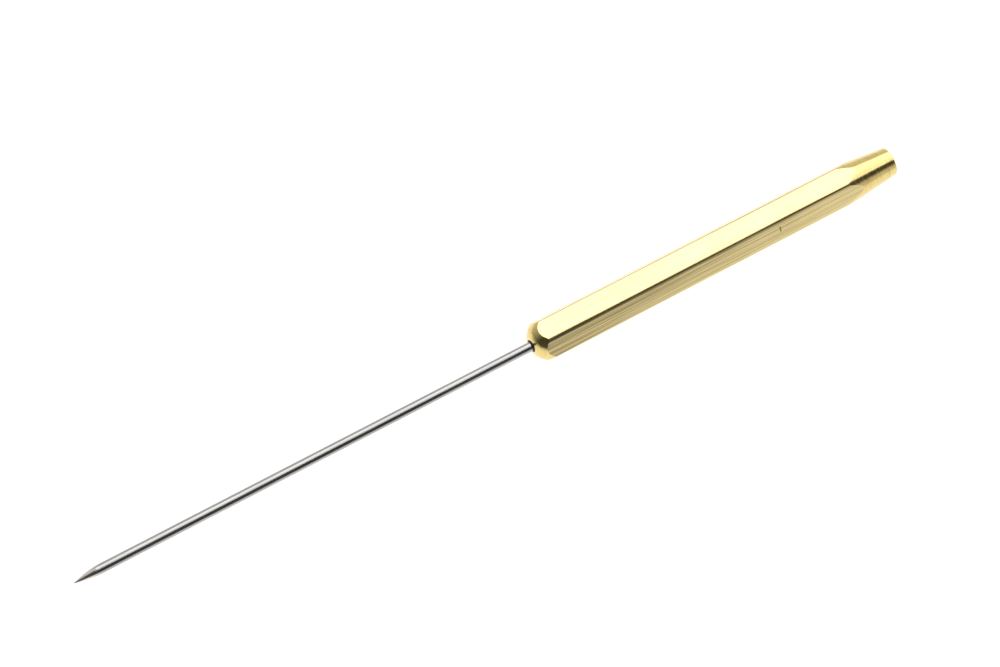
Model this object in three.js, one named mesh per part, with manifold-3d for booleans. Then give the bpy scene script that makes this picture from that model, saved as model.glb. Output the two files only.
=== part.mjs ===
// A needle tool: a hexagonal brass bar with a steel needle bonded into its domed nose.
//
// The tool lies along X with the needle's point towards -X, and rests on one flat of the bar at z = 0.
// Z is up, x = 0 is the middle of the overall length, and all lengths are millimetres.

import * as THREE from 'three';
import { mergeVertices } from 'three/addons/utils/BufferGeometryUtils.js';
import Module from 'manifold-3d';

const wasm = await Module();
wasm.setup();

// ---- Driving dimensions ----

// Handle: drawn hexagonal bar, turned at both ends
const ACROSS_FLATS = 5.0;
const CORNER_RADIUS = 0.12;         // rounding that drawing leaves on the bar's six long edges
const HANDLE_LENGTH = 53.8;
const DOME_RADIUS = 2.96;           // ball shape of the nose, centred on the axis
const NOSE_FACE_RADIUS = 1.26;      // flat left round the needle where the dome is cut off
const TAIL_TAPER_LENGTH = 8.7;      // from the turning diameter down to the tail face
const TAIL_END_RADIUS = 1.96;
const TAIL_HOLLOW = 0.09;           // how far the taper curves in from a straight cone
const TAIL_EDGE_BREAK = 0.12;       // chamfer on the tail's outer edge

// Needle and the bore that holds it
const NEEDLE_DIAMETER = 1.25;
const NEEDLE_EXPOSED = 63.1;
const NEEDLE_SHANK = 13.5;          // length hidden in the handle
const POINT_LENGTH = 3.6;           // ground point
const POINT_SHARPNESS = 1.8;        // power of the curve that brings the point up to the wire
const TIP_RADIUS = 0.03;
const SHANK_CHAMFER = 0.1;
const NEEDLE_BORE_DIAMETER = 1.66;
const NEEDLE_BORE_DEPTH = 14.0;

// Cured compound in the ring-shaped space round the shank, with a small bead left at the mouth
const BOND_CLEARANCE = 0.02;        // to the needle and to the bore wall
const BOND_DEPTH = 13.0;
const BEAD_HEIGHT = 0.14;           // how far the bead stands out at the needle
const BEAD_EDGE_HEIGHT = 0.06;      // and at its outer edge
const BEAD_LAND = 0.07;             // width of the bead's flat end

// Blind bore in the tail, for tying knots over the end
const TAIL_BORE_DIAMETER = 2.2;
const TAIL_BORE_DEPTH = 7.0;
const TAIL_BORE_MOUTH_DIAMETER = 2.7;

// Workshop values
const DRILL_POINT_ANGLE = THREE.MathUtils.degToRad(118);
const CUTTER_OVERRUN = 1.0;         // how far a cutter starts outside the metal
const HANDLE_SEGMENTS = 72;         // facets round the handle's turned ends
const BORE_SEGMENTS = 40;
const NEEDLE_SEGMENTS = 32;
const CORNER_STEPS = 3;
const CURVE_STEPS = 8;

// ---- Values worked out from them ----

const AXIS_HEIGHT = ACROSS_FLATS / 2;
const OVERALL_LENGTH = NEEDLE_EXPOSED + HANDLE_LENGTH;
const TIP_X = -OVERALL_LENGTH / 2;
const NOSE_X = TIP_X + NEEDLE_EXPOSED;
const NEEDLE_RADIUS = NEEDLE_DIAMETER / 2;
const NEEDLE_BORE_RADIUS = NEEDLE_BORE_DIAMETER / 2;
const TAIL_BORE_RADIUS = TAIL_BORE_DIAMETER / 2;

// ---- Materials ----

const brass = new THREE.MeshStandardMaterial({ color: 0xcdb45a, metalness: 1.0, roughness: 0.28 });
const steel = new THREE.MeshStandardMaterial({ color: 0xb4b2ad, metalness: 1.0, roughness: 0.2 });
const compound = new THREE.MeshStandardMaterial({ color: 0x1c1612, metalness: 0.0, roughness: 0.5 });

// ---- Geometry helpers ----

// Lays a shape that was made along its own axis (Y of a turned shape) along X, at the tool's axis.
function layAlongX(geometry, startX) {
  geometry.rotateZ(-Math.PI / 2);
  geometry.translate(startX, 0, AXIS_HEIGHT);
  return geometry;
}

// Turns a profile of (radius, distance along the axis), which runs from the nose end to the tail end.
function turned(points, segments, startX) {
  return layAlongX(new THREE.LatheGeometry(points, segments), startX);
}

function toSolid(geometry) {
  const bare = geometry.clone();
  bare.deleteAttribute('normal');
  bare.deleteAttribute('uv');
  const merged = mergeVertices(bare, 1e-5);
  const mesh = new wasm.Mesh({
    numProp: 3,
    vertProperties: new Float32Array(merged.attributes.position.array),
    triVerts: new Uint32Array(merged.index.array),
  });
  return new wasm.Manifold(mesh);
}

function toGeometry(solid) {
  const mesh = solid.getMesh();
  const geometry = new THREE.BufferGeometry();
  geometry.setAttribute('position', new THREE.BufferAttribute(mesh.vertProperties, mesh.numProp));
  geometry.setIndex(new THREE.BufferAttribute(mesh.triVerts, 1));
  geometry.computeVertexNormals();
  return geometry;
}

// ---- Handle ----

// Hexagonal bar with rounded long edges, two of its flats level.
function hexagonalBar() {
  const centreRadius = (ACROSS_FLATS / 2 - CORNER_RADIUS) / Math.cos(Math.PI / 6);
  const section = new THREE.Shape();
  for (let corner = 0; corner < 6; corner += 1) {
    const middle = corner * Math.PI / 3;
    section.absarc(
      centreRadius * Math.cos(middle),
      centreRadius * Math.sin(middle),
      CORNER_RADIUS,
      middle - Math.PI / 6,
      middle + Math.PI / 6,
      false,
    );
  }
  section.closePath();
  const bar = new THREE.ExtrudeGeometry(section, {
    depth: HANDLE_LENGTH,
    bevelEnabled: false,
    curveSegments: CORNER_STEPS,
  });
  // Turns the corners that lie on the section's X to the sides, then lays the length along X
  bar.rotateZ(Math.PI / 2);
  bar.rotateY(Math.PI / 2);
  bar.translate(NOSE_X, 0, AXIS_HEIGHT);
  return bar;
}

// What the lathe leaves: a cut-off ball at the nose, a plain stretch that clears the bar's corners,
// and a slightly hollow taper at the tail.
function turningEnvelope() {
  const domeCentre = Math.sqrt(DOME_RADIUS ** 2 - NOSE_FACE_RADIUS ** 2);
  const taperStart = HANDLE_LENGTH - TAIL_TAPER_LENGTH;
  const profile = new THREE.Path();
  profile.moveTo(0, 0);
  profile.lineTo(NOSE_FACE_RADIUS, 0);
  profile.absarc(0, domeCentre, DOME_RADIUS, -Math.asin(domeCentre / DOME_RADIUS), 0, false);
  profile.lineTo(DOME_RADIUS, taperStart);
  profile.quadraticCurveTo(
    (DOME_RADIUS + TAIL_END_RADIUS) / 2 - 2 * TAIL_HOLLOW,
    HANDLE_LENGTH - TAIL_TAPER_LENGTH / 2,
    TAIL_END_RADIUS,
    HANDLE_LENGTH - TAIL_EDGE_BREAK,
  );
  profile.lineTo(TAIL_END_RADIUS - TAIL_EDGE_BREAK, HANDLE_LENGTH);
  profile.lineTo(0, HANDLE_LENGTH);
  return turned(profile.getPoints(CURVE_STEPS), HANDLE_SEGMENTS, NOSE_X);
}

// Drill for the needle, entering at the nose and ending in its own point.
function needleDrill() {
  const pointLength = NEEDLE_BORE_RADIUS / Math.tan(DRILL_POINT_ANGLE / 2);
  return turned([
    new THREE.Vector2(0, -CUTTER_OVERRUN),
    new THREE.Vector2(NEEDLE_BORE_RADIUS, -CUTTER_OVERRUN),
    new THREE.Vector2(NEEDLE_BORE_RADIUS, NEEDLE_BORE_DEPTH),
    new THREE.Vector2(0, NEEDLE_BORE_DEPTH + pointLength),
  ], BORE_SEGMENTS, NOSE_X);
}

// Drill for the tail bore, with a 45 degree break at its mouth.
function tailDrill() {
  const pointLength = TAIL_BORE_RADIUS / Math.tan(DRILL_POINT_ANGLE / 2);
  const mouthRadius = TAIL_BORE_MOUTH_DIAMETER / 2;
  const mouthDepth = mouthRadius - TAIL_BORE_RADIUS;
  const bottom = HANDLE_LENGTH - TAIL_BORE_DEPTH;
  return turned([
    new THREE.Vector2(0, bottom - pointLength),
    new THREE.Vector2(TAIL_BORE_RADIUS, bottom),
    new THREE.Vector2(TAIL_BORE_RADIUS, HANDLE_LENGTH - mouthDepth),
    new THREE.Vector2(mouthRadius, HANDLE_LENGTH),
    new THREE.Vector2(mouthRadius, HANDLE_LENGTH + CUTTER_OVERRUN),
    new THREE.Vector2(0, HANDLE_LENGTH + CUTTER_OVERRUN),
  ], BORE_SEGMENTS, NOSE_X);
}

function handle() {
  const solid = toSolid(hexagonalBar())
    .intersect(toSolid(turningEnvelope()))
    .subtract(toSolid(needleDrill()))
    .subtract(toSolid(tailDrill()));
  const mesh = new THREE.Mesh(toGeometry(solid), brass);
  mesh.name = 'handle';
  return mesh;
}

// ---- Needle ----

// Radius of the ground point at a distance from the tip, on a curve that runs out into the wire.
function pointRadius(fromTip) {
  const left = (1 - fromTip / POINT_LENGTH) ** POINT_SHARPNESS;
  return NEEDLE_RADIUS - (NEEDLE_RADIUS - TIP_RADIUS) * left;
}

function needle() {
  const length = NEEDLE_EXPOSED + NEEDLE_SHANK;
  const profile = [new THREE.Vector2(0, 0)];
  for (let step = 0; step <= CURVE_STEPS; step += 1) {
    const fromTip = POINT_LENGTH * step / CURVE_STEPS;
    profile.push(new THREE.Vector2(pointRadius(fromTip), fromTip));
  }
  profile.push(
    new THREE.Vector2(NEEDLE_RADIUS, length - SHANK_CHAMFER),
    new THREE.Vector2(NEEDLE_RADIUS - SHANK_CHAMFER, length),
    new THREE.Vector2(0, length),
  );
  const mesh = new THREE.Mesh(turned(profile, NEEDLE_SEGMENTS, TIP_X), steel);
  mesh.name = 'needle';
  return mesh;
}

// ---- Retaining compound ----

function retainingCompound() {
  const inner = NEEDLE_RADIUS + BOND_CLEARANCE;
  const outer = NEEDLE_BORE_RADIUS - BOND_CLEARANCE;
  const profile = [
    new THREE.Vector2(inner, -BEAD_HEIGHT),
    new THREE.Vector2(inner + BEAD_LAND, -BEAD_HEIGHT),
    new THREE.Vector2(outer, -BEAD_EDGE_HEIGHT),
    new THREE.Vector2(outer, BOND_DEPTH),
    new THREE.Vector2(inner, BOND_DEPTH),
    new THREE.Vector2(inner, -BEAD_HEIGHT),
  ];
  const mesh = new THREE.Mesh(turned(profile, BORE_SEGMENTS, NOSE_X), compound);
  mesh.name = 'retaining_compound';
  return mesh;
}

// ---- Assembly ----

const needleTool = new THREE.Group();
needleTool.add(handle());
needleTool.add(needle());
needleTool.add(retainingCompound());

export default needleTool;
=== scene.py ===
"""A needle tool on a pale ground.

The tool is a hexagonal brass bar with a domed nose and a round tapered tail, a straight steel needle in
the nose, and a small bead of the compound that holds it, coloured near black so that it also paints the
shade at the mouth of the bore. It lies along X with the needle's point towards -X and one flat of the
bar on z = 0.

Pieces are made at bench scale, where one unit is a millimetre, about their own axis (Z, from the point
of the needle towards the tail). Their modifier stacks are applied there, and then the finished mesh is
laid along X, moved to the tool's axis and brought to metres.
"""

import logging
import math
from dataclasses import dataclass
from enum import Enum
from functools import cached_property
from typing import Callable, Sequence

import bmesh
import bpy
from mathutils import Matrix, Vector


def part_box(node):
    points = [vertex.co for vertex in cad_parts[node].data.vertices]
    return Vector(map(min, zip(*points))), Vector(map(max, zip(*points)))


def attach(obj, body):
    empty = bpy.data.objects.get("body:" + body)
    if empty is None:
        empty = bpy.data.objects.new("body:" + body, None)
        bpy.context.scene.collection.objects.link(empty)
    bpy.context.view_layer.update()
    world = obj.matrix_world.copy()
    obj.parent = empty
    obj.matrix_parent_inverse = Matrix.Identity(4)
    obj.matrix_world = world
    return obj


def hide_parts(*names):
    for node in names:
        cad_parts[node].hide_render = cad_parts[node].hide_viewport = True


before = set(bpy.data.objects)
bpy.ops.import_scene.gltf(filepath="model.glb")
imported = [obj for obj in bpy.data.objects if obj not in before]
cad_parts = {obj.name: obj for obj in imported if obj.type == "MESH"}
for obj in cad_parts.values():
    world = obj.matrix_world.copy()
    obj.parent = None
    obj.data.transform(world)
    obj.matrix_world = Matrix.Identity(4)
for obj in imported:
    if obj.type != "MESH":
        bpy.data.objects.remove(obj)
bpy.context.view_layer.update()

log = logging.getLogger("needle_tool")

MM = 0.001
BODY = "root"
AROUND_MAP = "around"
BEVEL_WEIGHT = "bevel_weight_edge"

# Millimetres, as the pieces are made at bench scale. The gap is kept between the compound and the metal.
MERGE_DISTANCE = 0.0001
ON_AXIS = 1e-6
BEAD_GAP = 0.005

# Parts of a noise's range, over which a finish goes from one look to the other
PATCH_RANGE = (0.35, 0.75)
SCAR_RANGE = (0.56, 0.72)
STREAK_RANGE = (0.3, 0.7)
DUST_RANGE = (0.5, 0.8)

# Shares of a nick's width from its middle, between which it fades out
NICK_FADE = (0.3, 0.7)

Span = tuple[float, float]
Colour = tuple[float, float, float]
Place = tuple[float, float, float]
Profile = Sequence[Span]
Socket = bpy.types.NodeSocket


class Slot(Enum):
    """Material slots."""

    BRASS = "brass"
    STEEL = "needle_steel"
    COMPOUND = "compound"


class Grain(Enum):
    """The way that tool marks run on a piece of metal."""

    ALONG = "along the tool"
    AROUND = "around its axis"


class Surface(Enum):
    """Surfaces of the handle, numbered in the order of its materials."""

    DRAWN = 0
    TURNED = 1


# ---- Shader nodes and finishes ----


class Nodes:
    """A node tree, with short ways to add and join nodes."""

    def __init__(self, tree: bpy.types.NodeTree) -> None:
        """Takes the tree of a material or of the room."""
        self.tree = tree

    def add(self, kind: str, inputs: dict | None = None, **settings: object) -> bpy.types.Node:
        """Adds a node.

        Args:
            kind: Node type, such as "ShaderNodeTexNoise".
            inputs: Socket name or number to a value, or to an output socket that is joined to it.
            **settings: Properties of the node.

        Returns:
            The new node.
        """
        node = self.tree.nodes.new(kind)
        for key, value in settings.items():
            setattr(node, key, value)
        self.feed(node, inputs or {})
        return node

    def feed(self, node: bpy.types.Node, inputs: dict) -> None:
        """Sets or joins a node's inputs.

        Args:
            node: The node to feed.
            inputs: Socket name or number to a value or an output socket.
        """
        for key, value in inputs.items():
            if isinstance(value, Socket):
                self.tree.links.new(value, node.inputs[key])
            else:
                node.inputs[key].default_value = value

    def remap(
        self, value: Socket, source: Span, target: Span = (0.0, 1.0), curve: str = "LINEAR"
    ) -> Socket:
        """Maps one range to another and keeps to its ends.

        Args:
            value: Socket to map.
            source: Ends of its range.
            target: What they become.
            curve: Interpolation between them.

        Returns:
            Socket with the mapped value.
        """
        ends = {"From Min": source[0], "From Max": source[1], "To Min": target[0], "To Max": target[1]}
        node = self.add("ShaderNodeMapRange", {"Value": value, **ends}, interpolation_type=curve)
        return node.outputs["Result"]

    def multiply_add(self, first: Socket, second: Socket | float, extra: Socket | float = 0.0) -> Socket:
        """Multiplies two values and adds a third.

        Args:
            first: Value to multiply.
            second: What it is multiplied by.
            extra: What is added.

        Returns:
            Socket with the result.
        """
        node = self.add("ShaderNodeMath", {0: first, 1: second, 2: extra}, operation="MULTIPLY_ADD")
        return node.outputs["Value"]


class Shader(Nodes):
    """The nodes of a new material with a Principled surface."""

    def __init__(self, name: str) -> None:
        """Makes the material.

        Args:
            name: Its name.
        """
        self.material = bpy.data.materials.new(name)
        self.material.use_nodes = True
        super().__init__(self.material.node_tree)
        self.surface = next(n for n in self.tree.nodes if n.type == "BSDF_PRINCIPLED")

    def place(self, scale: Place = (1.0, 1.0, 1.0)) -> Socket:
        """Gives the point on the piece, stretched.

        Args:
            scale: Pattern cells per metre along X, Y and Z.

        Returns:
            Socket with the stretched object coordinates.
        """
        where = self.add("ShaderNodeTexCoord").outputs["Object"]
        mapping = self.add("ShaderNodeMapping", {"Vector": where, "Scale": scale})
        return mapping.outputs["Vector"]

    def noise(self, scale: Place, detail: float = 2.0) -> Socket:
        """Gives stretched noise between 0 and 1.

        Args:
            scale: Cells per metre along X, Y and Z.
            detail: Octaves.

        Returns:
            Socket with the noise value.
        """
        node = self.add(
            "ShaderNodeTexNoise", {"Vector": self.place(scale), "Scale": 1.0, "Detail": detail}
        )
        return node.outputs["Fac"]

    def mix(self, share: Socket, first: Colour | Socket, second: Colour | Socket) -> Socket:
        """Mixes two colours.

        Args:
            share: Share of the second colour.
            first: Colour at 0.
            second: Colour at 1.

        Returns:
            Socket with the mixed colour.
        """
        node = self.add("ShaderNodeMix", {0: share}, data_type="RGBA")
        for number, colour in ((6, first), (7, second)):
            self.feed(node, {number: colour if isinstance(colour, Socket) else (*colour, 1.0)})
        return node.outputs[2]

    def bump(self, height: Socket, distance: float, normal: Socket | None = None) -> Socket:
        """Turns a height into a disturbed normal.

        Args:
            height: Socket with a height from 0 to 1.
            distance: Height of 1, in metres.
            normal: Normal to disturb, if not the surface's own.

        Returns:
            Socket with the normal.
        """
        node = self.add("ShaderNodeBump", {"Height": height, "Strength": 1.0, "Distance": distance})
        if normal:
            self.tree.links.new(normal, node.inputs["Normal"])
        return node.outputs["Normal"]


@dataclass(frozen=True)
class ToolMarkedMetal:
    """Bare metal covered in the fine parallel marks of a die, a lathe or a stone.

    Pitches and depths are in metres.
    """

    name: str
    grain: Grain
    colour: Colour
    dull_colour: Colour
    roughness: Span
    anisotropy: float
    line_pitch: float
    line_depth: float
    streak_pitch: float
    streak_depth: float
    run_length: float
    patch_size: float
    scar_colour: Colour
    scar_pitch: float

    def _stretch(self, pitch: float) -> Place:
        """Noise cells per metre for marks of one pitch.

        Args:
            pitch: Distance between marks.

        Returns:
            Cells per metre along X, Y and Z.
        """
        across = 1.0 / pitch
        lengthways = 1.0 / self.run_length
        if self.grain is Grain.ALONG:
            return (lengthways, across, across)
        return (across, lengthways, lengthways)

    def _surface_colour(self, shader: Shader) -> Socket:
        """Mixes the metal's colours.

        Args:
            shader: The material's nodes.

        Returns:
            Socket with the colour.
        """
        patches = shader.noise((1.0 / self.patch_size,) * 3, detail=3.0)
        scars = shader.noise(self._stretch(self.scar_pitch), detail=1.0)
        bare = shader.mix(shader.remap(patches, PATCH_RANGE), self.colour, self.dull_colour)
        return shader.mix(shader.remap(scars, SCAR_RANGE), bare, self.scar_colour)

    def _surface_roughness(self, shader: Shader, streaks: Socket) -> Socket:
        """Varies the roughness with the height of the broad marks."""
        return shader.remap(streaks, STREAK_RANGE, self.roughness)

    def make(self) -> bpy.types.Material:
        """Builds the material.

        Returns:
            The finished material.
        """
        shader = Shader(self.name)
        quarter_turn = 0.25
        lines = shader.noise(self._stretch(self.line_pitch), detail=3.0)
        streaks = shader.noise(self._stretch(self.streak_pitch), detail=2.0)
        normal = shader.bump(streaks, self.streak_depth)
        normal = shader.bump(lines, self.line_depth, normal)
        tangent = shader.add("ShaderNodeTangent", direction_type="UV_MAP", uv_map=AROUND_MAP)
        shader.feed(
            shader.surface,
            {
                "Base Color": self._surface_colour(shader),
                "Metallic": 1.0,
                "Roughness": self._surface_roughness(shader, streaks),
                "Anisotropic": self.anisotropy,
                "Anisotropic Rotation": 0.0 if self.grain is Grain.ALONG else quarter_turn,
                "Normal": normal,
                "Tangent": tangent.outputs["Tangent"],
            },
        )
        return shader.material


@dataclass(frozen=True)
class PointedSteel(ToolMarkedMetal):
    """Wire with a point that has been ground to a paler, duller finish.

    The ground finish is full at ground_full and gone at ground_gone, which are metres along X.
    """

    ground_colour: Colour
    ground_roughness: float
    ground_full: float
    ground_gone: float

    def _ground(self, shader: Shader) -> Socket:
        """Gives the share of the ground finish, by the place along the tool."""
        where = shader.add("ShaderNodeSeparateXYZ", {"Vector": shader.place()}).outputs["X"]
        return shader.remap(where, (self.ground_full, self.ground_gone), (1.0, 0.0))

    def _surface_colour(self, shader: Shader) -> Socket:
        """Mixes the wire's colour with that of the ground point."""
        return shader.mix(self._ground(shader), super()._surface_colour(shader), self.ground_colour)

    def _surface_roughness(self, shader: Shader, streaks: Socket) -> Socket:
        """Mixes the wire's roughness with that of the ground point.

        Args:
            shader: The material's nodes.
            streaks: Socket with the height of the broad marks.

        Returns:
            Socket with the roughness.
        """
        wire = super()._surface_roughness(shader, streaks)
        parts = {0: self._ground(shader), 2: wire, 3: self.ground_roughness}
        return shader.add("ShaderNodeMix", parts, data_type="FLOAT").outputs[0]


@dataclass(frozen=True)
class NickedBrass(ToolMarkedMetal):
    """Bar stock with one short nick, whose ends are points in metres."""

    nick_start: Place
    nick_end: Place
    nick_width: float
    nick_colour: Colour

    def _surface_colour(self, shader: Shader) -> Socket:
        """Mixes the bar's colour with that of the nick.

        Args:
            shader: The material's nodes.

        Returns:
            Socket with the colour.
        """
        run = Vector(self.nick_end) - Vector(self.nick_start)
        offset = self._vector(shader, "SUBTRACT", {0: shader.place(), 1: self.nick_start})
        towards_end = tuple(run / run.length_squared)
        along = self._vector(shader, "DOT_PRODUCT", {0: offset, 1: towards_end}, "Value")
        share = shader.remap(along, (0.0, 1.0))
        nearest = self._vector(shader, "SCALE", {0: tuple(run), "Scale": share})
        gap = self._vector(shader, "DISTANCE", {0: offset, 1: nearest}, "Value")
        fade = tuple(self.nick_width * part for part in NICK_FADE)
        inside = shader.remap(gap, fade, (1.0, 0.0))
        return shader.mix(inside, super()._surface_colour(shader), self.nick_colour)

    @staticmethod
    def _vector(shader: Shader, operation: str, inputs: dict, result: str = "Vector") -> Socket:
        """Works on vectors, and gives the named result."""
        return shader.add("ShaderNodeVectorMath", inputs, operation=operation).outputs[result]


@dataclass(frozen=True)
class CompoundAndPaintedShade:
    """Retaining compound, set hard with a slightly uneven skin; its near-black colour also paints the
    shade at the mouth of the needle bore.
    """

    name: str
    colour: Colour
    dust_colour: Colour
    roughness: float
    grain_size: float
    relief: float

    def make(self) -> bpy.types.Material:
        """Builds the material.

        Returns:
            The finished material.
        """
        shader = Shader(self.name)
        skin = shader.noise((1.0 / self.grain_size,) * 3, detail=4.0)
        dust = shader.remap(skin, DUST_RANGE)
        shader.feed(
            shader.surface,
            {
                "Base Color": shader.mix(dust, self.colour, self.dust_colour),
                "Roughness": self.roughness,
                "Normal": shader.bump(skin, self.relief),
            },
        )
        return shader.material


@dataclass(frozen=True)
class WhiteGround:
    """Glossy white acrylic sheet, lit from behind as well as from above."""

    name: str
    colour: Colour
    glow: float
    gloss: float
    gloss_roughness: float
    grain_size: float
    relief: float

    def make(self) -> bpy.types.Material:
        """Builds the material.

        Returns:
            The finished material.
        """
        shader = Shader(self.name)
        grain = shader.noise((1.0 / self.grain_size,) * 3, detail=2.0)
        shader.feed(
            shader.surface,
            {
                "Base Color": (*self.colour, 1.0),
                "Roughness": 0.8,
                "Specular IOR Level": 0.0,
                "Coat Weight": self.gloss,
                "Coat Roughness": self.gloss_roughness,
                "Coat IOR": 1.5,
                "Emission Color": (1.0, 1.0, 1.0, 1.0),
                "Emission Strength": self.glow,
                "Normal": shader.bump(grain, self.relief),
            },
        )
        return shader.material


DRAWN_BRASS = NickedBrass(
    name="drawn_brass",
    grain=Grain.ALONG,
    colour=(0.95, 0.775, 0.38),
    dull_colour=(0.87, 0.71, 0.34),
    roughness=(0.11, 0.17),
    anisotropy=0.75,
    line_pitch=0.16 * MM,
    line_depth=0.006 * MM,
    streak_pitch=0.55 * MM,
    streak_depth=0.035 * MM,
    run_length=25.0 * MM,
    patch_size=5.0 * MM,
    scar_colour=(0.74, 0.58, 0.27),
    scar_pitch=0.25 * MM,
    nick_start=(40.16 * MM, -1.92 * MM, 4.18 * MM),
    nick_end=(40.17 * MM, -2.23 * MM, 3.63 * MM),
    nick_width=0.2 * MM,
    nick_colour=(0.36, 0.26, 0.11),
)

TURNED_BRASS = ToolMarkedMetal(
    name="turned_brass",
    grain=Grain.AROUND,
    colour=(0.94, 0.75, 0.30),
    dull_colour=(0.84, 0.65, 0.26),
    roughness=(0.10, 0.22),
    anisotropy=0.5,
    line_pitch=0.12 * MM,
    line_depth=0.004 * MM,
    streak_pitch=0.35 * MM,
    streak_depth=0.020 * MM,
    run_length=2.5 * MM,
    patch_size=1.6 * MM,
    scar_colour=(0.74, 0.55, 0.22),
    scar_pitch=0.22 * MM,
)

POLISHED_STEEL = PointedSteel(
    name="polished_steel",
    grain=Grain.ALONG,
    colour=(0.52, 0.51, 0.495),
    dull_colour=(0.47, 0.46, 0.45),
    roughness=(0.15, 0.19),
    anisotropy=0.8,
    line_pitch=0.05 * MM,
    line_depth=0.0004 * MM,
    streak_pitch=0.3 * MM,
    streak_depth=0.0015 * MM,
    run_length=4.0 * MM,
    patch_size=6.0 * MM,
    scar_colour=(0.46, 0.45, 0.44),
    scar_pitch=0.2 * MM,
    ground_colour=(0.82, 0.78, 0.70),
    ground_roughness=0.2,
    ground_full=-56.4 * MM,
    ground_gone=-54.6 * MM,
)

# Near-black colour: the compound itself, and painted shade at the mouth of the needle bore.
DARK_COMPOUND_AND_SHADE = CompoundAndPaintedShade(
    name="compound_and_painted_shade",
    colour=(0.012, 0.009, 0.007),
    dust_colour=(0.05, 0.04, 0.03),
    roughness=0.45,
    grain_size=0.2 * MM,
    relief=0.01 * MM,
)

PALE_GROUND = WhiteGround(
    name="white_ground",
    colour=(0.15, 0.15, 0.15),
    glow=1.0,
    gloss=0.97,
    gloss_roughness=0.05,
    grain_size=2.0 * MM,
    relief=0.002 * MM,
)


# ---- Mesh making ----


@dataclass(frozen=True)
class Band:
    """One ring of points round a piece's axis, and the strip of faces that leads to it.

    points holds one point for each column, or a single point where the piece closes on its axis.
    """

    points: list[Vector]
    surface: Surface = Surface.DRAWN
    edge: bool = False


def loft(name: str, bands: Sequence[Band]) -> bpy.types.Object:
    """Joins rings of points to a closed cage.

    Args:
        name: Name of the new object.
        bands: Rings in order, of which the first and the last are single points.

    Returns:
        The cage, with bevel weight 1 on rings marked as edges.
    """
    mesh = bpy.data.meshes.new(name)
    cage = bmesh.new()
    weight = cage.edges.layers.float.new(BEVEL_WEIGHT)
    rings = [[cage.verts.new(point) for point in band.points] for band in bands]
    columns = max(len(ring) for ring in rings)
    for below, above, band in zip(rings, rings[1:], bands[1:]):
        for column in range(columns):
            step = (column + 1) % columns
            corners = [
                below[column % len(below)],
                below[step % len(below)],
                above[step % len(above)],
                above[column % len(above)],
            ]
            face = cage.faces.new([c for i, c in enumerate(corners) if c is not corners[i - 1]])
            face.material_index = band.surface.value
            face.smooth = True
    for ring, band in zip(rings, bands):
        if band.edge:
            for column, vertex in enumerate(ring):
                cage.edges.get((vertex, ring[(column + 1) % len(ring)]))[weight] = 1.0
    bmesh.ops.recalc_face_normals(cage, faces=cage.faces)
    cage.to_mesh(mesh)
    cage.free()
    piece = bpy.data.objects.new(name, mesh)
    bpy.context.scene.collection.objects.link(piece)
    return piece


def profile_line(name: str, profile: Profile, closed: bool = False) -> bpy.types.Object:
    """Makes the half outline of a turned piece.

    Args:
        name: Name of the new object.
        profile: (radius, height) from top to bottom.
        closed: Whether the outline comes back to its start, as a ring's does.

    Returns:
        An object of plain edges, in the XZ plane.
    """
    mesh = bpy.data.meshes.new(name)
    count = len(profile)
    edges = [(i, (i + 1) % count) for i in range(count if closed else count - 1)]
    mesh.from_pydata([(radius, 0.0, height) for radius, height in profile], edges, [])
    piece = bpy.data.objects.new(name, mesh)
    bpy.context.scene.collection.objects.link(piece)
    return piece


def add_screw(piece: bpy.types.Object, steps: int) -> None:
    """Turns a half outline into a round piece.

    Args:
        piece: Object with the outline.
        steps: Facets in a full turn.
    """
    screw = piece.modifiers.new("turn", "SCREW")
    screw.axis = "Z"
    screw.steps = steps
    screw.render_steps = steps
    screw.use_merge_vertices = True
    screw.merge_threshold = MERGE_DISTANCE
    screw.use_smooth_shade = True


def add_bevel(piece: bpy.types.Object, width: float, segments: int) -> None:
    """Rounds the edges that carry bevel weight.

    Args:
        piece: Object to round.
        width: Offset from the edge.
        segments: Facets across the round.
    """
    bevel = piece.modifiers.new("edge_round", "BEVEL")
    bevel.limit_method = "WEIGHT"
    bevel.width = width
    bevel.segments = segments
    bevel.use_clamp_overlap = False


def add_subdivision(piece: bpy.types.Object, levels: int) -> None:
    """Smooths a cage.

    Args:
        piece: Object to smooth.
        levels: Subdivisions, both in the viewport and in the render.
    """
    smooth = piece.modifiers.new("smooth", "SUBSURF")
    smooth.levels = levels
    smooth.render_levels = levels


def add_weighted_normals(piece: bpy.types.Object) -> None:
    """Keeps broad faces flat up to the edge of a small round."""
    piece.modifiers.new("flat_faces", "WEIGHTED_NORMAL")


def map_around(mesh: bpy.types.Mesh) -> None:
    """Adds a UV map that runs round Z in U and along the surface in V.

    Args:
        mesh: Mesh about its own Z axis.
    """
    around = mesh.uv_layers.new(name=AROUND_MAP)
    for face in mesh.polygons:
        middle = math.atan2(face.center.y, face.center.x)
        for loop in face.loop_indices:
            point = mesh.vertices[mesh.loops[loop].vertex_index].co
            radius = point.xy.length
            turn = math.atan2(point.y, point.x) - middle if radius > ON_AXIS else 0.0
            turn -= math.tau * round(turn / math.tau)
            around.data[loop].uv = ((middle + turn) / math.tau, point.z + 2 * radius)


def lay_in_place(piece: bpy.types.Object, start: Vector) -> None:
    """Applies a piece's stack, lays it along X, moves it to its place and brings it to metres.

    Args:
        piece: Object made about its own Z axis, in millimetres.
        start: Where its own origin goes, in metres.
    """
    graph = bpy.context.evaluated_depsgraph_get()
    mesh = bpy.data.meshes.new_from_object(piece.evaluated_get(graph))
    piece.modifiers.clear()
    piece.data = mesh
    map_around(mesh)
    turn = Matrix.Rotation(math.pi / 2, 4, "Y")
    mesh.transform(Matrix.Translation(start) @ turn @ Matrix.Scale(MM, 4))
    mesh.update()


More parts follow.
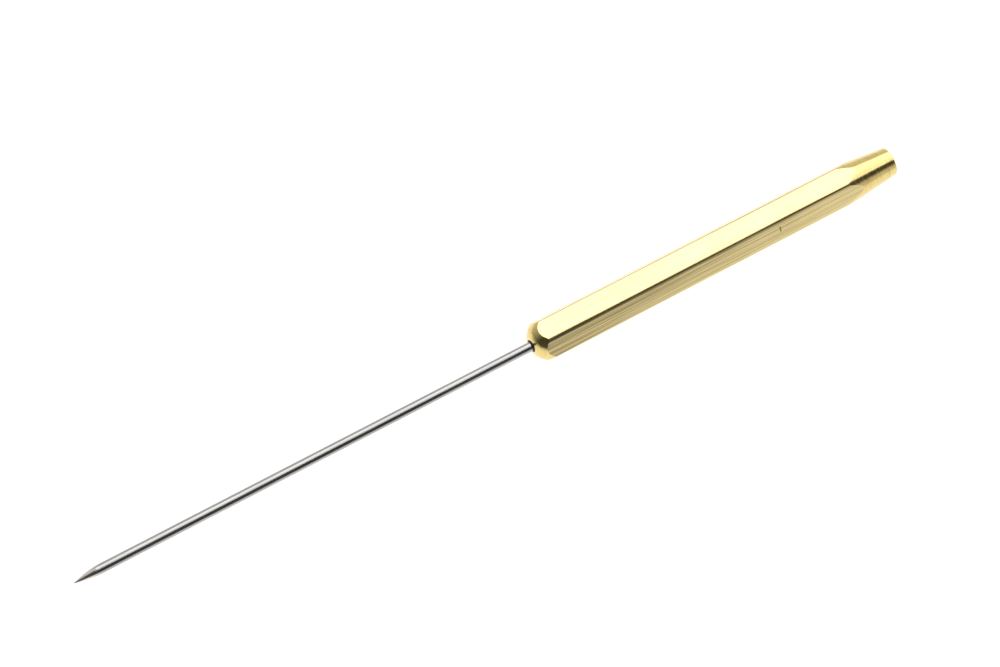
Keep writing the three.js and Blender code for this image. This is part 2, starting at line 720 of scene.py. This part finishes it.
def dress(
    piece: bpy.types.Object, nodes: Sequence[str], materials: Sequence[bpy.types.Material]
) -> None:
    """Gives a piece its finishes and ties it to the model.

    Args:
        piece: Finished object.
        nodes: Nodes that the piece stands for.
        materials: Materials, in the order of the mesh's material numbers.
    """
    for material in materials:
        piece.data.materials.append(material)
    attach(piece, BODY)
    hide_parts(*nodes)
    log.info("%s: %d faces", piece.name, len(piece.data.polygons))


def span(first: float, last: float, steps: int) -> list[float]:
    """Evenly spaced values after first, up to and with last."""
    return [first + (last - first) * step / steps for step in range(1, steps + 1)]


# ---- The tool's parts ----


@dataclass
class Handle:
    """Hexagonal brass bar, domed at the nose, tapered at the tail and bored at both ends.

    Sizes are millimetres, and heights are measured along the axis from the nose face. The bar's corners
    are counted from the one on +Y, by way of +Z. Use has rounded the two upper ones more than the rest.
    """

    start: Vector
    length: float
    across_flats: float
    corner_radii: tuple[float, ...] = (0.12, 0.35, 0.7, 0.12, 0.12, 0.12)
    dome_radius: float = 2.96
    nose_face_radius: float = 1.26
    needle_bore_radius: float = 0.83
    needle_bore_depth: float = 14.0
    taper_length: float = 8.7
    taper_hollow: float = 0.09
    tail_radius: float = 1.96
    tail_edge_break: float = 0.12
    tail_bore_radius: float = 1.1
    tail_bore_depth: float = 7.0
    tail_mouth_radius: float = 1.35
    drill_half_angle: float = math.radians(59)
    corner_steps: int = 4
    flat_steps: int = 8
    dome_steps: int = 6
    bar_steps: int = 12
    taper_steps: int = 9
    edge_round: float = 0.035
    round_segments: int = 2
    smoothing: int = 2

    @cached_property
    def _section(self) -> list[Span]:
        """Works out the bar's rounded outline.

        Returns:
            (angle from the corner on +Y, distance from the axis) for each column.
        """
        corners = [self._corner(number) for number in range(6)]
        outline = []
        for corner, following in zip(corners, corners[1:] + corners[:1]):
            shares = span(0.0, 1.0, self.flat_steps)[:-1]
            outline += corner + [corner[-1].lerp(following[0], share) for share in shares]
        return [(math.atan2(p.y, p.x), p.length) for p in outline]

    def _corner(self, number: int) -> list[Vector]:
        """Works out one rounded corner of the bar.

        Args:
            number: Which corner.

        Returns:
            Points along the round, from one flat to the next.
        """
        radius = self.corner_radii[number]
        middle = number * math.pi / 3
        centre = (self.across_flats / 2 - radius) / math.cos(math.pi / 6)
        hub = Vector((math.cos(middle), math.sin(middle))) * centre
        first, last = middle - math.pi / 6, middle + math.pi / 6
        turns = [first] + span(first, last, self.corner_steps)
        return [hub + Vector((math.cos(a), math.sin(a))) * radius for a in turns]

    @property
    def _dome_centre(self) -> float:
        """Height of the centre of the nose's ball shape."""
        return math.sqrt(self.dome_radius**2 - self.nose_face_radius**2)

    def _dome_band(self, share: float, reach: float) -> Span:
        """A point on the dome, on the way from the nose face to where the dome meets the bar.

        Args:
            share: 0 at the nose face and 1 where the dome meets the bar.
            reach: Distance of the bar's surface from the axis.

        Returns:
            (radius, height).
        """
        first = math.asin(self.nose_face_radius / self.dome_radius)
        last = math.asin(min(reach / self.dome_radius, 1.0))
        angle = first + (last - first) * share
        height = self._dome_centre - self.dome_radius * math.cos(angle)
        return (self.dome_radius * math.sin(angle), height)

    def _taper_share(self, reach: float) -> float:
        """How far along the taper its radius has come down to a value.

        Args:
            reach: The radius.

        Returns:
            Share of the taper's length.
        """
        square = 4 * self.taper_hollow
        slope = self.tail_radius - self.dome_radius - square
        rest = self.dome_radius - reach
        return (-slope - math.sqrt(slope**2 - 4 * square * rest)) / (2 * square)

    def _taper_band(self, share: float, reach: float) -> Span:
        """A point on the taper, on the way from where it leaves the bar to the tail's edge.

        Args:
            share: 0 where the taper leaves the bar and 1 at the tail's edge.
            reach: Distance of the bar's surface from the axis.

        Returns:
            (radius, height).
        """
        first = self._taper_share(reach)
        t = first + (1.0 - first) * share
        cone = self.dome_radius + (self.tail_radius - self.dome_radius) * t
        run = self.taper_length - self.tail_edge_break
        height = self.length - self.taper_length + run * t
        return (cone - 4 * self.taper_hollow * t * (1 - t), height)

    def _ring(
        self, shape: Callable[[float], Span], surface: Surface = Surface.DRAWN, edge: bool = False
    ) -> Band:
        """Makes one ring of the cage.

        Args:
            shape: Gives (radius, height) for the bar's reach in a column.
            surface: What the strip up to the ring is.
            edge: Whether the ring is an edge to round.

        Returns:
            The ring, with a point for each column of the section.
        """
        points = []
        for angle, reach in self._section:
            radius, height = shape(reach)
            points.append(Vector((-radius * math.sin(angle), radius * math.cos(angle), height)))
        return Band(points, surface, edge)

    def _circle(self, radius: float, height: float, edge: bool = False) -> Band:
        """A true circle on a surface that the lathe or a drill made."""
        return self._ring(lambda reach: (radius, height), Surface.TURNED, edge)

    def _nose_bands(self) -> list[Band]:
        """Lists the rings from the end of the needle bore to where the dome meets the bar.

        Returns:
            The rings, in order.
        """
        bore, depth = self.needle_bore_radius, self.needle_bore_depth
        drill_point = bore / math.tan(self.drill_half_angle)
        bands = [
            Band([Vector((0.0, 0.0, depth + drill_point))]),
            self._circle(bore, depth, edge=True),
            self._circle(bore, depth / 2),
            self._circle(bore, 0.0, edge=True),
            self._circle((bore + self.nose_face_radius) / 2, 0.0),
            self._circle(self.nose_face_radius, 0.0, edge=True),
        ]
        for share in span(0.0, 1.0, self.dome_steps):
            dome = self._ring(
                lambda reach: self._dome_band(share, reach), Surface.TURNED, edge=share == 1.0
            )
            bands.append(dome)
        return bands

    def _bar_bands(self) -> list[Band]:
        """Lists the rings along the bar, up to where the taper leaves it.

        Returns:
            The rings, in order.
        """
        corner_reach = max(reach for _, reach in self._section)
        first = self._dome_band(1.0, corner_reach)[1]
        last = self._taper_band(0.0, corner_reach)[1]
        bands = []
        for height in span(first, last, self.bar_steps)[:-1]:
            bands.append(self._ring(lambda reach: (reach, height)))
        bands.append(self._ring(lambda reach: self._taper_band(0.0, reach), edge=True))
        return bands

    def _tail_bands(self) -> list[Band]:
        """Lists the rings from the start of the taper to the end of the tail bore.

        Returns:
            The rings, in order.
        """
        bore, mouth = self.tail_bore_radius, self.tail_mouth_radius
        bottom = self.length - self.tail_bore_depth
        drill_point = bore / math.tan(self.drill_half_angle)
        bands = []
        for share in span(0.0, 1.0, self.taper_steps):
            taper = self._ring(
                lambda reach: self._taper_band(share, reach), Surface.TURNED, edge=share == 1.0
            )
            bands.append(taper)
        return bands + [
            self._circle(self.tail_radius - self.tail_edge_break, self.length, edge=True),
            self._circle((self.tail_radius + mouth) / 2, self.length),
            self._circle(mouth, self.length, edge=True),
            self._circle(bore, self.length - (mouth - bore), edge=True),
            self._circle(bore, self.length - self.tail_bore_depth / 2),
            self._circle(bore, bottom, edge=True),
            Band([Vector((0.0, 0.0, bottom - drill_point))], Surface.TURNED),
        ]

    def build(self) -> bpy.types.Object:
        """Makes the handle in its place.

        Returns:
            The finished, undressed piece.
        """
        piece = loft("brass_handle", self._nose_bands() + self._bar_bands() + self._tail_bands())
        add_bevel(piece, self.edge_round, self.round_segments)
        add_subdivision(piece, self.smoothing)
        add_weighted_normals(piece)
        lay_in_place(piece, self.start)
        return piece

    def dress(self, piece: bpy.types.Object) -> None:
        """Gives the bar its drawn finish and the turned ends theirs."""
        dress(piece, ["handle"], [DRAWN_BRASS.make(), TURNED_BRASS.make()])


@dataclass
class Needle:
    """Straight steel needle with a ground point.

    Sizes are millimetres, and heights are measured along the axis from the tip.
    """

    start: Vector
    length: float
    radius: float
    point_length: float = 3.6
    point_sharpness: float = 1.8
    tip_radius: float = 0.02
    tip_offset: Span = (-0.09, -0.05)
    tip_bend: float = 1.5
    shank_chamfer: float = 0.1
    steps: int = 64
    point_steps: int = 24
    wire_steps: int = 24

    def _point(self, height: float) -> float:
        """Radius of the ground point.

        Args:
            height: Distance from the tip.

        Returns:
            The radius, on a curve that runs out into the wire.
        """
        left = (1.0 - height / self.point_length) ** self.point_sharpness
        return self.radius - (self.radius - self.tip_radius) * left

    def build(self) -> bpy.types.Object:
        """Makes the needle in its place.

        Returns:
            The finished, undressed piece.
        """
        heights = [0.0] + span(0.0, self.point_length, self.point_steps)
        outline = [(0.0, 0.0)] + [(self._point(h), h) for h in heights]
        straight = span(self.point_length, self.length, self.wire_steps)
        outline += [(self.radius, h) for h in straight[:-1]]
        outline += [
            (self.radius, self.length - self.shank_chamfer),
            (self.radius - self.shank_chamfer, self.length),
            (0.0, self.length),
        ]
        piece = profile_line("steel_needle", outline[::-1])
        add_screw(piece, self.steps)
        lay_in_place(piece, self.start)
        self._offset_tip(piece.data)
        return piece

    def _offset_tip(self, mesh: bpy.types.Mesh) -> None:
        """Moves the tip a little off the axis, as grinding by hand leaves it.

        Args:
            mesh: The needle's mesh, in its place.
        """
        aside = Vector((0.0, *self.tip_offset)) * MM
        for vertex in mesh.vertices:
            share = max(0.0, 1.0 - (vertex.co.x - self.start.x) / (self.point_length * MM))
            vertex.co += aside * share**self.tip_bend

    def dress(self, piece: bpy.types.Object) -> None:
        """Gives the needle its steel."""
        dress(piece, ["needle"], [POLISHED_STEEL.make()])


@dataclass
class CompoundBead:
    """Ring of cured compound that shows at the mouth of the needle bore.

    Sizes are millimetres, and heights are measured along the axis from the nose face.
    """

    start: Vector
    inner_radius: float
    outer_radius: float
    height: float
    edge_height: float = 0.05
    depth: float = 13.0
    steps: int = 48
    crown_steps: int = 4

    def build(self) -> bpy.types.Object:
        """Makes the ring in its place.

        Returns:
            The finished, undressed piece.
        """
        width = self.outer_radius - self.inner_radius
        drop = self.height - self.edge_height
        crown = [
            (self.outer_radius - width * s, -self.edge_height - drop * math.sin(s * math.pi / 2))
            for s in [0.0] + span(0.0, 1.0, self.crown_steps)
        ]
        outline = [(self.inner_radius, self.depth), (self.outer_radius, self.depth)] + crown
        piece = profile_line("compound_bead", outline, closed=True)
        add_screw(piece, self.steps)
        lay_in_place(piece, self.start)
        return piece

    def dress(self, piece: bpy.types.Object) -> None:
        """Gives the ring its near-black colour, which paints the shade at the mouth of the bore as well
        as the compound.
        """
        dress(piece, ["retaining_compound"], [DARK_COMPOUND_AND_SHADE.make()])


# ---- Studio ----


@dataclass
class Studio:
    """White ground, one large softbox, the room round them, and a camera.

    Lengths are metres. The room's brightness goes from dark to light with the direction. Each fade holds
    the values of X, Y or Z of the direction where a part of it starts and where it is full.
    """

    ground_size: float = 6.0
    softbox_centre: Place = (0.243, 0.155, 0.595)
    softbox_size: Span = (0.764, 0.85)
    softbox_tilt: float = math.radians(20.8)
    softbox_radiance: float = 1.1
    wall_brightness: Span = (0.05, 0.68)
    wall_fade: Span = (-0.35, 0.9)
    wall_light_towards: Span = (0.3, 0.954)
    fill: float = 0.55
    fill_fade_x: Span = (0.26, 0.4)
    fill_fade_y: Span = (0.0, -0.3)
    fill_fade_z: Span = (0.5, 0.2)
    overhead: float = 0.38
    overhead_fade_y: Span = (-0.1, 0.3)
    overhead_fade_z: Span = (0.6, 0.9)
    camera_azimuth: float = math.radians(-30.17)
    camera_elevation: float = math.radians(62.04)
    camera_distance: float = 0.3123
    camera_target: Place = (0.00216, 0.00349, 0.00251)
    lens: float = 90.0
    film_width: float = 36.0
    nearest_sight: float = 0.01

    def lay_ground(self) -> None:
        """Lays the white ground that the tool rests on."""
        mesh = bpy.data.meshes.new("ground")
        half = self.ground_size / 2
        mesh.from_pydata(
            [(-half, -half, 0.0), (half, -half, 0.0), (half, half, 0.0), (-half, half, 0.0)],
            [],
            [(0, 1, 2, 3)],
        )
        mesh.materials.append(PALE_GROUND.make())
        ground = bpy.data.objects.new("ground", mesh)
        bpy.context.scene.collection.objects.link(ground)

    def hang_softbox(self) -> None:
        """Hangs the softbox above the tool, set back and to the handle's side, and tilted to face it."""
        light = bpy.data.lights.new("softbox", "AREA")
        light.shape = "RECTANGLE"
        light.size, light.size_y = self.softbox_size
        area = self.softbox_size[0] * self.softbox_size[1]
        light.energy = self.softbox_radiance * math.pi * area
        lamp = bpy.data.objects.new("softbox", light)
        lamp.location = self.softbox_centre
        lamp.rotation_euler = (0.0, self.softbox_tilt, 0.0)
        lamp.visible_camera = False
        bpy.context.scene.collection.objects.link(lamp)

    def _room_strength(self, room: Nodes) -> Socket:
        """Works out how bright the room is in each direction.

        The walls are pale behind the tool and dark in front of it. A fill light stands low in front, on
        the tail's side, and the ceiling is a little brighter overhead.

        Args:
            room: Nodes of the surroundings.

        Returns:
            Socket with the brightness.
        """
        direction = room.add("ShaderNodeTexCoord").outputs["Generated"]
        axes = room.add("ShaderNodeSeparateXYZ", {"Vector": direction}).outputs

        def fade(axis: str, ends: Span) -> Socket:
            """Gives 0 to 1 between two values along an axis, with a smooth step."""
            return room.remap(axes[axis], ends, curve="SMOOTHSTEP")

        towards = room.add(
            "ShaderNodeVectorMath",
            {0: direction, 1: (*self.wall_light_towards, 0.0)},
            operation="DOT_PRODUCT",
        )
        walls = room.remap(towards.outputs["Value"], self.wall_fade, self.wall_brightness)
        side = room.multiply_add(fade("X", self.fill_fade_x), fade("Y", self.fill_fade_y))
        fill = room.multiply_add(side, fade("Z", self.fill_fade_z))
        ceiling = room.multiply_add(
            fade("Z", self.overhead_fade_z), fade("Y", self.overhead_fade_y)
        )
        upper = room.multiply_add(ceiling, self.overhead, walls)
        return room.multiply_add(fill, self.fill, upper)

    def paint_room(self) -> None:
        """Sets the surroundings: the room for reflections, and plain white for the camera itself."""
        world = bpy.data.worlds.new("room")
        world.use_nodes = True
        bpy.context.scene.world = world
        world.node_tree.nodes.clear()
        room = Nodes(world.node_tree)
        white = (1.0, 1.0, 1.0, 1.0)
        kind = "ShaderNodeBackground"
        around = room.add(kind, {"Color": white, "Strength": self._room_strength(room)})
        backdrop = room.add(kind, {"Color": white, "Strength": 1.0})
        seen_directly = room.add("ShaderNodeLightPath").outputs["Is Camera Ray"]
        choice = room.add(
            "ShaderNodeMixShader",
            {0: seen_directly, 1: around.outputs["Background"], 2: backdrop.outputs["Background"]},
        )
        room.add("ShaderNodeOutputWorld", {"Surface": choice.outputs["Shader"]})

    def set_camera(self) -> None:
        """Puts the camera in place, and shows colours without a film look."""
        a, e = self.camera_azimuth, self.camera_elevation
        back = Vector((math.sin(a) * math.cos(e), -math.cos(a) * math.cos(e), math.sin(e)))
        right = Vector((math.cos(a), math.sin(a), 0.0))
        turn = Matrix((right, back.cross(right), back)).transposed()
        data = bpy.data.cameras.new("camera")
        data.lens = self.lens
        data.sensor_width = self.film_width
        data.clip_start = self.nearest_sight
        camera = bpy.data.objects.new("camera", data)
        camera.matrix_world = (
            Matrix.Translation(Vector(self.camera_target) + back * self.camera_distance)
            @ turn.to_4x4()
        )
        scene = bpy.context.scene
        scene.collection.objects.link(camera)
        scene.camera = camera
        scene.view_settings.view_transform = "Standard"

    def build(self) -> None:
        """Sets up the whole studio."""
        self.lay_ground()
        self.hang_softbox()
        self.paint_room()
        self.set_camera()
        log.info("studio: ground %.1f m, softbox %.2f by %.2f m", self.ground_size, *self.softbox_size)


def main() -> None:
    """Builds the tool and the studio round it."""
    logging.basicConfig(level=logging.INFO, format="%(name)s: %(message)s")
    handle_low, handle_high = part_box("handle")
    needle_low, needle_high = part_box("needle")
    bead_low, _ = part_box("retaining_compound")
    axis_y = (needle_low.y + needle_high.y) / 2
    axis_z = (needle_low.z + needle_high.z) / 2
    nose = Vector((handle_low.x, axis_y, axis_z))

    handle = Handle(
        start=nose,
        length=(handle_high.x - handle_low.x) / MM,
        across_flats=(handle_high.z - handle_low.z) / MM,
    )
    handle.dress(handle.build())

    needle_radius = (needle_high.z - needle_low.z) / 2 / MM
    needle = Needle(
        start=Vector((needle_low.x, axis_y, axis_z)),
        length=(needle_high.x - needle_low.x) / MM,
        radius=needle_radius,
    )
    needle.dress(needle.build())

    bead = CompoundBead(
        start=nose,
        inner_radius=needle_radius + BEAD_GAP,
        outer_radius=handle.needle_bore_radius - BEAD_GAP,
        height=(handle_low.x - bead_low.x) / MM,
    )
    bead.dress(bead.build())

    Studio().build()


if __name__ == "__main__":
    main()
